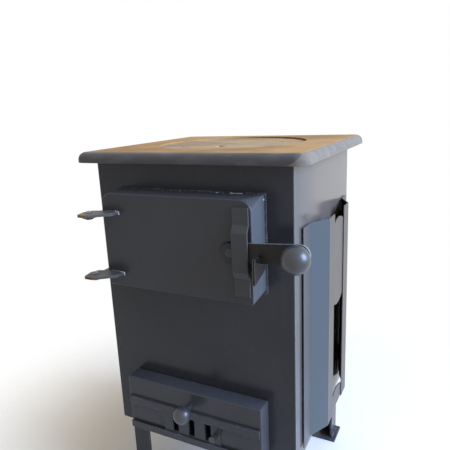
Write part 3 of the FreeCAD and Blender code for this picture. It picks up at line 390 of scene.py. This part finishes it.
def firebrick():
    """Pressed fireclay brick: sandy buff, pale and brown grog grains, small pores and soot near the top."""
    material, make, coords = new_finish("fireclay_brick")
    shade = patches(make, coords, 45, 0.35, 0.65)
    grains = make("ShaderNodeTexVoronoi", {"Vector": coords, "Scale": per(3.5)}, give="Color")
    tone = make("ShaderNodeSeparateColor", {"Color": grains}, give="Red")
    brown = make("ShaderNodeMapRange", {"Value": tone, "From Min": 0.86, "From Max": 0.93})
    pale = make("ShaderNodeMapRange", {"Value": tone, "From Min": 0.14, "From Max": 0.08})
    height = make("ShaderNodeSeparateXYZ", {"Vector": coords}, give="Z")
    rising = make("ShaderNodeMapRange", {"Value": height, "From Min": 0.3, "From Max": 0.56})
    soot = overlap(make, rising, patches(make, coords, 55, 0.36, 0.66, 5.0, squeeze=(1, 1, 0.45)))
    pores = patches(make, coords, 1.8, 0.34, 0.55, 4.0)
    surface(
        make,
        Base_Color=layers(
            make, "#c7a477", (shade, "#b48d61"), (brown, "#7d5b3b"), (pale, "#e0c9a2"), (soot, "#2e2722"),
        ),
        Roughness=0.95,
        Specular_IOR_Level=0.2,
        Normal=make("ShaderNodeBump", {"Height": pores, "Distance": 0.6 * MM, "Strength": 0.6}),
    )
    return material


def glass_rope():
    """Plaited glass yarn: off-white and matte, with grey painted shade in the furrows between the yarns,
    browned in places.
    """
    material, make, coords = new_finish("plaited_glass_yarn")
    # Off-white on the raised yarns, grey in the furrows as painted shade.
    raised = make("ShaderNodeAttribute", give="Fac", attribute_name="yarn")
    browned = patches(make, coords, 35, 0.5, 0.75)
    fuzz = make("ShaderNodeTexNoise", {"Vector": coords, "Scale": per(0.5), "Detail": 3.0})
    surface(
        make,
        Base_Color=layers(make, "#5d5850", (raised, "#cfc8b8"), (browned, "#7b6a55")),
        Roughness=0.92,
        Specular_IOR_Level=0.2,
        Normal=make("ShaderNodeBump", {"Height": fuzz, "Distance": 0.2 * MM, "Strength": 0.4}),
    )
    return material


def bare_weld():
    """Weld metal left unpainted: bright, rippled steel with straw and blue heat colours."""
    material, make, coords = new_finish("bare_weld_metal")
    blued = patches(make, coords, 6, 0.4, 0.65)
    straw = patches(make, coords, 9, 0.58, 0.7)
    fine = patches(make, coords, 2, 0.35, 0.65)
    surface(
        make,
        Base_Color=layers(make, "#b9c2cf", (blued, "#8f98a8"), (straw, "#7d6c58")),
        Metallic=0.8,
        Roughness=make("ShaderNodeMapRange", {"Value": fine, "To Min": 0.25, "To Max": 0.45}),
    )
    return material


# One paint in two copies: darker for the front and the rest of the body, as painted shade, and lighter for
# the sides, as painted light, warming towards the back as painted reflection.
SHADED_BODY_PAINT = graphite_paint("graphite_paint_front_shaded", "#38393f", "#43454b", "#9aa0a8", wear=0.45)
LIT_SIDE_PAINT = graphite_paint(
    "graphite_paint_sides_lit", "#494a4d", "#57575a", "#bcc0c6", wear=0.62, gloss=0.16,
    painted_light=[("#655e57", 100, {"Y": (-50, 240)})],
)
# The door's right side, across x 132 to 140 mm, is painted a lighter blue-grey as painted light.
DOOR_PAINT = graphite_paint(
    "graphite_paint_door", "#434448", "#4e4f54", "#a9b1bc", wear=0.6,
    painted_light=[("#54585c", 1, {"X": (132, 140)})], shade_ring=RIVET_SHADE_RING,
)
STRAP_PAINT = graphite_paint("graphite_paint_latch", "#4b4c4f", "#56575b", "#8a9098", wear=0.25)
# The shield is warmer towards the back and bluer on its front slanting run, as painted reflection, and
# near-black on its inward faces as painted shade.
SHIELD_PAINT = graphite_paint(
    "graphite_paint_shield", "#45474b", "#505256", "#a4abb5", wear=0.34, gloss=0.3,
    painted_light=[("#4c4743", 10, {"Y": (-46, 240)}), ("#4b545a", 3, {"Y": (-95, -59)})], shade_lining="#131211",
)
DRAWER_PAINT = graphite_paint("graphite_paint_drawer", "#45464a", "#515358", "#a2a8b0", wear=0.4)
PLATE_IRON = heat_tinted_iron("heat_tinted_cast_iron", "#ba9567", "#a57f50", "#8e847b", grey_level=0.63)
COVER_IRON = heat_tinted_iron("heat_greyed_cast_iron", "#bda079", "#aa906e", "#8c8784", grey_level=0.48)
GRATE_IRON = sooty_iron()
HINGE_STEEL = rusty_steel()
# The hinge pins' light blue-grey is a painted highlight for the glint on their heads.
GLINT_PIN_STEEL = blackened_steel("pin_steel_painted_glint", "#78828f", "#98a3b0", shine=0.2)
LEVER_STEEL = blackened_steel(
    "blackened_lever_steel", "#262321", "#312e2b", shine=0.4, across="Y", painted=108,
)
CATCH_STEEL = blackened_steel("blackened_catch_steel", "#1f2023", "#28292c", shine=0.3, rubbed=-205)
KNOB_STEEL = satin_steel()
LINER_STEEL = heat_dulled_steel()
BRICK = firebrick()
ROPE = glass_rope()
WELD_METAL = bare_weld()

SLOT_FINISHES = {
    "body_paint": SHADED_BODY_PAINT,
    "door_paint": DOOR_PAINT,
    "shield_paint": SHIELD_PAINT,
    "drawer_paint": DRAWER_PAINT,
    "hob_iron": COVER_IRON,
    "grate_iron": GRATE_IRON,
    "hinge_steel": HINGE_STEEL,
    "knob_steel": KNOB_STEEL,
    "liner_steel": LINER_STEEL,
    "firebrick": BRICK,
    "rope_seal": ROPE,
}
NODE_FINISHES = {
    "left_side_panel": LIT_SIDE_PAINT,
    "right_side_panel": LIT_SIDE_PAINT,
    "hob_plate": PLATE_IRON,
    "hinge_pins": GLINT_PIN_STEEL,
    "latch_lever": LEVER_STEEL,
    "latch_catch": CATCH_STEEL,
    "lever_guide_strap": STRAP_PAINT,
    "lever_pivot_rivet": STRAP_PAINT,
}


def dress_solids():
    """Every solid takes the finish of its slot in the record, or one of its own."""
    for part in frame["record"]["subparts"]:
        name = part["node"]
        mesh = NODES[name].data
        mesh.materials.clear()
        mesh.materials.append(NODE_FINISHES.get(name, SLOT_FINISHES[part["material_slot"]]))


# Pieces that the solids leave out

def as_piece(name, mesh, body):
    """An object for a mesh whose place is in its points, riding on a body."""
    item = bpy.data.objects.new(name, mesh)
    SCENE.collection.objects.link(item)
    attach(item, body)
    return item


def new_tree(name, sockets):
    """A Geometry Nodes tree with these named inputs and one geometry output."""
    tree = bpy.data.node_groups.new(name, "GeometryNodeTree")
    for label, kind in sockets:
        tree.interface.new_socket(label, in_out="INPUT", socket_type=kind)
    tree.interface.new_socket("Made", in_out="OUTPUT", socket_type="NodeSocketGeometry")
    return tree, tree.nodes.new("NodeGroupInput").outputs


def end_tree(tree, given, instances):
    """Real, smooth mesh with its finish."""
    real = add(tree, "GeometryNodeRealizeInstances", {"Geometry": instances})
    smooth = add(tree, "GeometryNodeSetShadeSmooth", {"Geometry": real})
    done = add(tree, "GeometryNodeSetMaterial", {"Geometry": smooth, "Material": given["Finish"]})
    add(tree, "NodeGroupOutput", {"Made": done})
    return tree


def weld_tree():
    """Ripples of weld metal along a path, one every pitch, each a drop of metal half sunk in the corner."""
    tree, given = new_tree("weld_ripples", [
        ("Path", "NodeSocketGeometry"), ("Pitch", "NodeSocketFloat"), ("Thickness", "NodeSocketFloat"),
        ("Seed", "NodeSocketInt"), ("Finish", "NodeSocketMaterial"),
    ])
    run = add(tree, "GeometryNodeMeshToCurve", {"Mesh": given["Path"]})
    stops = add(tree, "GeometryNodeResampleCurve", {"Curve": run, "Length": given["Pitch"]}, mode="LENGTH")
    along = add(tree, "GeometryNodeInputTangent")
    turned = add(tree, "FunctionNodeAlignRotationToVector", {"Vector": along}, axis="X")
    drop = add(tree, "GeometryNodeMeshUVSphere", {"Segments": 8, "Rings": 5, "Radius": 1.0}, give="Mesh")
    half = add(tree, "ShaderNodeMath", {0: given["Thickness"], 1: 0.5}, operation="MULTIPLY")
    uneven = add(tree, "FunctionNodeRandomValue", {"Min": 0.82, "Max": 1.12, "Seed": given["Seed"]})
    across = add(tree, "ShaderNodeMath", {0: half, 1: uneven}, operation="MULTIPLY")
    length = add(tree, "ShaderNodeMath", {0: given["Pitch"], 1: 0.95}, operation="MULTIPLY")
    size = add(tree, "ShaderNodeCombineXYZ", {"X": length, "Y": across, "Z": across})
    drops = add(tree, "GeometryNodeInstanceOnPoints", {
        "Points": stops, "Instance": drop, "Rotation": turned, "Scale": size,
    })
    return end_tree(tree, given, drops)


def spatter_tree():
    """Beads of weld spatter scattered on a patch, flattened against it."""
    tree, given = new_tree("weld_spatter", [
        ("Patch", "NodeSocketGeometry"), ("Density", "NodeSocketFloat"), ("Smallest", "NodeSocketFloat"),
        ("Largest", "NodeSocketFloat"), ("Seed", "NodeSocketInt"), ("Finish", "NodeSocketMaterial"),
    ])
    # Two outputs of this node are used, so it isn't made by the function that gives one.
    where = {"Mesh": given["Patch"], "Density": given["Density"], "Seed": given["Seed"]}
    spread = tree.nodes.new("GeometryNodeDistributePointsOnFaces")
    for label, output in where.items():
        tree.links.new(output, spread.inputs[label])
    bead = add(tree, "GeometryNodeMeshUVSphere", {"Segments": 6, "Rings": 4, "Radius": 1.0}, give="Mesh")
    limits = {"Min": given["Smallest"], "Max": given["Largest"], "Seed": given["Seed"]}
    radius = add(tree, "FunctionNodeRandomValue", limits)
    height = add(tree, "ShaderNodeMath", {0: radius, 1: 0.7}, operation="MULTIPLY")
    size = add(tree, "ShaderNodeCombineXYZ", {"X": radius, "Y": radius, "Z": height})
    beads = add(tree, "GeometryNodeInstanceOnPoints", {
        "Points": spread.outputs["Points"], "Instance": bead,
        "Rotation": spread.outputs["Rotation"], "Scale": size,
    })
    return end_tree(tree, given, beads)


def grown(tree, name, source, body, slot, **inputs):
    """The plain mesh that a tree grows from a source mesh, as a piece on a body."""
    holder = bpy.data.objects.new(name + "_source", source)
    SCENE.collection.objects.link(holder)
    modifier = holder.modifiers.new(name, "NODES")
    modifier.node_group = tree
    for item in tree.interface.items_tree:
        if item.in_out == "INPUT" and item.name in inputs:
            modifier[item.identifier] = inputs[item.name]
    seen = holder.evaluated_get(bpy.context.evaluated_depsgraph_get())
    mesh = bpy.data.meshes.new_from_object(seen)
    mesh.name = name
    holder.modifiers.remove(modifier)
    bpy.data.objects.remove(holder)
    return as_piece(name, mesh, body)


def paths(runs):
    """A mesh of edges only, one chain for each run of points in millimetres."""
    mesh = bpy.data.meshes.new("weld_path")
    points = []
    edges = []
    for run in runs:
        start = len(points)
        points += [Vector(p) * MM for p in run]
        edges += [(start + i, start + i + 1) for i in range(len(run) - 1)]
    mesh.from_pydata(points, edges, [])
    return mesh


def loop_at(y, x, z):
    """A closed run round a rectangle on a plane of constant y."""
    corners = [(x[0], z[0]), (x[1], z[0]), (x[1], z[1]), (x[0], z[1]), (x[0], z[0])]
    return [(cx, y, cz) for cx, cz in corners]


def ring_at(y, middle_z, radius, count=48):
    """A closed run round a circle on a plane of constant y."""
    turns = [math.tau * i / count for i in range(count + 1)]
    return [(radius * math.cos(t), y, middle_z + radius * math.sin(t)) for t in turns]


def box_mm(node):
    """A node's box in millimetres, as spans along x, y and z."""
    low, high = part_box(node)
    return [(a / MM, b / MM) for a, b in zip(low, high)]


def welds():
    """Painted beads round the frame, brackets, flue and legs, and bare ones on the door and its hinges,
    with a thick bright bead at the door's rear top corner as a painted highlight.
    """
    tree = weld_tree()
    panel = box_mm("front_panel")[1][0]
    face = box_mm("fuel_door_pan")[1][0]
    runs = []
    frame_x, _, frame_z = box_mm("fuel_door_frame")
    runs.append(loop_at(panel - FRAME_BEAD_OFF_SHEET, frame_x, frame_z))
    for name in ("upper_hinge_bracket", "lower_hinge_bracket"):
        x, _, z = box_mm(name)
        runs.append(loop_at(panel - BEAD_OFF_SHEET, [x[0] + end for end in BRACKET_ARM], z))
    back = box_mm("rear_panel")[1][1]
    flange_x, flange_y, flange_z = box_mm("flue_flange")
    middle = sum(flange_z) / 2
    runs.append(ring_at(back + BEAD_OFF_SHEET, middle, flange_x[1]))
    runs.append(ring_at(flange_y[1] + BEAD_OFF_SHEET, middle, box_mm("flue_collar")[0][1]))
    for name in ("front_left_leg", "front_right_leg", "rear_left_leg", "rear_right_leg"):
        x, y, z = box_mm(name)
        right = x[0] > 0
        rear = y[0] > 0
        corner_x, end_x = (x[1], x[0]) if right else (x[0], x[1])
        corner_y, end_y = (y[1], y[0]) if rear else (y[0], y[1])
        for level_z in z:
            turns = [(end_x, corner_y), (corner_x, corner_y), (corner_x, end_y)]
            runs.append([(at_x, at_y, level_z) for at_x, at_y in turns])
    painted = {"Pitch": 2.4 * MM, "Thickness": 4.2 * MM, "Seed": 3, "Finish": SHADED_BODY_PAINT}
    grown(tree, "body_weld_beads", paths(runs), "stove_body", "body_paint", **painted)

    sides = []
    ends = []
    beside_leaf = face - LEAF_SIDE_BEAD_OFF_DOOR
    past_leaf = face - LEAF_END_BEAD_OFF_DOOR
    for name in ("upper_hinge_leaf", "lower_hinge_leaf"):
        x, _, z = box_mm(name)
        for level_z in z:
            sides.append([(x[1] - end, beside_leaf, level_z) for end in LEAF_SIDE_BEAD])
        tip = x[1] + BEAD_OFF_SHEET
        ends.append([(x[1] - 5, past_leaf, z[1]), (tip, past_leaf, z[1] - 1), (tip, past_leaf, z[0])])
    covered = {"Pitch": 2.0 * MM, "Thickness": 2.6 * MM, "Seed": 5, "Finish": DOOR_PAINT}
    grown(tree, "hinge_leaf_weld_beads", paths(sides), "fuel_door", "hinge_steel", **covered)
    bare = {"Pitch": 1.6 * MM, "Thickness": 3.0 * MM, "Seed": 6, "Finish": WELD_METAL}
    grown(tree, "hinge_leaf_end_welds", paths(ends), "fuel_door", "hinge_steel", **bare)
    door_x, door_y, door_z = box_mm("fuel_door_pan")
    seam = door_y[1] - 1.5
    # A thick bead of bright weld at the door's rear top right corner, put there as a painted highlight.
    corner = [(door_x[1] - 3, seam, door_z[1] - 2.5), (door_x[1] - 1, seam, door_z[1] - 8)]
    thick = {**bare, "Thickness": 4.6 * MM}
    grown(tree, "door_corner_glint_weld", paths([corner]), "fuel_door", "door_paint", **thick)
    tacks = [[(door_x[1] - end, seam, door_z[1]) for end in tack] for tack in TACKS]
    thin = {**bare, "Thickness": 1.5 * MM}
    grown(tree, "door_top_tack_welds", paths(tacks), "fuel_door", "door_paint", **thin)


def patch(corners):
    """A mesh of one face, from corners in millimetres given counter-clockwise as seen from outside."""
    mesh = bpy.data.meshes.new("spatter_patch")
    mesh.from_pydata([Vector(c) * MM for c in corners], [], [range(len(corners))])
    return mesh


def spatter():
    """Spatter along the rear of the door's top, and on the front panel beside the door."""
    tree = spatter_tree()
    x, y, z = box_mm("fuel_door_pan")
    rear = y[1] - 5
    start = x[0] + 60
    end = x[1] - 6
    top = z[1]
    strip = patch([(start, rear, top), (end, rear, top), (end + 3, y[1], top), (start, y[1], top)])
    look = {"Smallest": 0.25 * MM, "Largest": 0.8 * MM, "Finish": WELD_METAL}
    grown(tree, "door_weld_spatter", strip, "fuel_door", "door_paint", Density=30000.0, Seed=11, **look)
    panel = box_mm("front_panel")[1][0]
    low = z[0] + 15
    high = low + 40
    near = x[1] + 2
    far = x[1] + 12
    beside = patch([(near, panel, low), (far, panel, low), (far, panel, high), (near, panel, high)])
    grown(tree, "panel_weld_spatter", beside, "stove_body", "body_paint", Density=6000.0, Seed=4, **look)


def rounded_loop(x, z, bend, step):
    """Points and outward directions round a rounded rectangle in the x and z plane, about a step apart."""
    corners = [(x, z, 0), (-x, z, 90), (-x, -z, 180), (x, -z, 270)]
    found = []
    for i, (cx, cz, start) in enumerate(corners):
        centre = Vector((math.copysign(x - bend, cx), 0, math.copysign(z - bend, cz)))
        count = max(6, round(bend * math.pi / 2 / step))
        for k in range(count + 1):
            angle = math.radians(start + 90 * k / count)
            outward = Vector((math.cos(angle), 0, math.sin(angle)))
            found.append((centre + outward * bend, outward))
        nx, nz, _ = corners[(i + 1) % 4]
        angle = math.radians(start + 90)
        outward = Vector((math.cos(angle), 0, math.sin(angle)))
        after = Vector((math.copysign(x - bend, nx), 0, math.copysign(z - bend, nz))) + outward * bend
        run = after - found[-1][0]
        count = max(2, round(run.length / step))
        before = found[-1][0].copy()
        found += [(before + run * (k / count), outward) for k in range(1, count)]
    return found


def rope_seal():
    """The plaited rope that seals the door: one closed tube with the crossing yarns raised on it."""
    x, y, z = box_mm("fuel_door_seal")
    thickness = y[1] - y[0]
    half_x = (x[1] - x[0] - thickness) / 2
    half_z = (z[1] - z[0] - thickness) / 2
    middle = Vector(((x[0] + x[1]) / 2, (y[0] + y[1]) / 2, (z[0] + z[1]) / 2))
    line = rounded_loop(half_x, half_z, bend=6.5, step=0.75)
    lengths = [(line[(i + 1) % len(line)][0] - line[i][0]).length for i in range(len(line))]
    yarns = 8
    yarn_height = 0.4
    around = 28
    core = thickness / 2 - 0.45
    crossings = round(sum(lengths) / (math.tau * core / yarns))
    mesh = bmesh.new()
    raised = mesh.verts.layers.float.new("yarn")
    rings = []
    travelled = 0.0
    for (point, outward), length in zip(line, lengths):
        ring = []
        along = math.tau * crossings * travelled / sum(lengths)
        for k in range(around):
            turn = math.tau * k / around
            height = max(math.cos(yarns * turn + along), math.cos(yarns * turn - along))
            share = max(0.0, height) ** 0.6
            spoke = outward * math.cos(turn) + Vector((0, 1, 0)) * math.sin(turn)
            vert = mesh.verts.new((middle + point + spoke * (core + yarn_height * share)) * MM)
            vert[raised] = share
            ring.append(vert)
        rings.append(ring)
        travelled += length
    for i, ring in enumerate(rings):
        after = rings[(i + 1) % len(rings)]
        for k in range(around):
            beside = (k + 1) % around
            mesh.faces.new((ring[k], ring[beside], after[beside], after[k])).smooth = True
    bmesh.ops.recalc_face_normals(mesh, faces=mesh.faces)
    rope = bpy.data.meshes.new("door_rope_seal")
    mesh.to_mesh(rope)
    mesh.free()
    rope.materials.append(ROPE)
    item = as_piece("door_rope_seal", rope, "fuel_door")
    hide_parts("fuel_door_seal")


# Stage

def stage():
    """A pale floor that thins out into a white surround, light from the surround that is stronger from
    behind and from the right, and one large soft lamp at the right, higher than the stove."""
    material, make, coords = new_finish("pale_matt_floor")
    tone = layers(make, "#f2f0ec", (patches(make, coords, 400, 0.3, 0.7), "#eeece8"))
    cloth = make("ShaderNodeBsdfDiffuse", {"Color": tone})
    nothing = make("ShaderNodeBsdfTransparent")
    distance = make("ShaderNodeVectorMath", {0: coords}, give="Value", operation="LENGTH")
    thinning = {"Value": distance, "From Min": 0.3, "From Max": 0.8}
    ebb = make("ShaderNodeMapRange", thinning, interpolation_type="SMOOTHSTEP")
    blend = make("ShaderNodeMixShader", {0: ebb, 1: cloth, 2: nothing})
    make("ShaderNodeOutputMaterial", {"Surface": blend})
    mesh = bpy.data.meshes.new("floor")
    half = 0.9
    corners = [(-half, -half, 0), (half, -half, 0), (half, half, 0), (-half, half, 0)]
    mesh.from_pydata(corners, [], [range(4)])
    mesh.materials.append(material)
    floor = bpy.data.objects.new("floor", mesh)
    SCENE.collection.objects.link(floor)

    world = bpy.data.worlds.new("surround")
    SCENE.world = world
    world.use_nodes = True
    world.node_tree.nodes.clear()
    make = functools.partial(add, world.node_tree)
    way = make("ShaderNodeTexCoord", give="Generated")
    bright_side = {0: way, 1: (0.74, 0.62, 0.25)}
    towards = make("ShaderNodeVectorMath", bright_side, give="Value", operation="DOT_PRODUCT")
    share = make("ShaderNodeMapRange", {"Value": towards, "From Min": -0.5, "From Max": 0.5})
    room = layers(make, "#55585e", (share, "#fff6e8"))
    seen = 0.0
    for ray in ("Is Camera Ray", "Is Glossy Ray", "Is Transmission Ray"):
        taken = make("ShaderNodeLightPath", give=ray)
        seen = make("ShaderNodeMath", {0: seen, 1: taken}, operation="MAXIMUM")
    glow = make("ShaderNodeBackground", {"Color": layers(make, room, (seen, "#ffffff"))})
    make("ShaderNodeOutputWorld", {"Surface": glow})

    lamp = bpy.data.lights.new("right_softbox", "AREA")
    lamp.shape = "RECTANGLE"
    lamp.size, lamp.size_y = LAMP_SIZE
    lamp.energy = LAMP_POWER
    lamp.color = linear(LAMP_COLOUR)[:3]
    softbox = bpy.data.objects.new("right_softbox", lamp)
    SCENE.collection.objects.link(softbox)
    softbox.location = LAMP_PLACE
    beam = Vector(LAMP_AIM) - softbox.location
    softbox.rotation_euler = beam.to_track_quat("-Z", "Y").to_euler()


def camera():
    """The camera at the photograph's angle, solved from the straight edges of the body and the hob."""
    rows = Matrix.Identity(3)
    for degrees, axis in zip(CAMERA_ROLL_PITCH_TURN, "ZXY"):
        rows = rows @ Matrix.Rotation(math.radians(degrees), 3, axis)
    rows = rows @ Matrix(((1, 0, 0), (0, 0, -1), (0, 1, 0)))
    lens = bpy.data.cameras.new("camera")
    lens.sensor_width = CAMERA_SENSOR
    lens.lens = CAMERA_SENSOR * FOCAL_PIXELS / PICTURE_PIXELS
    eye = bpy.data.objects.new("camera", lens)
    SCENE.collection.objects.link(eye)
    facing = Matrix((rows[0], -rows[1], -rows[2])).transposed()
    eye.matrix_world = Matrix.Translation(CAMERA_PLACE) @ facing.to_4x4()
    SCENE.camera = eye


dress_solids()
welds()
spatter()
rope_seal()
stage()
camera()
SCENE.view_settings.view_transform = "Standard"
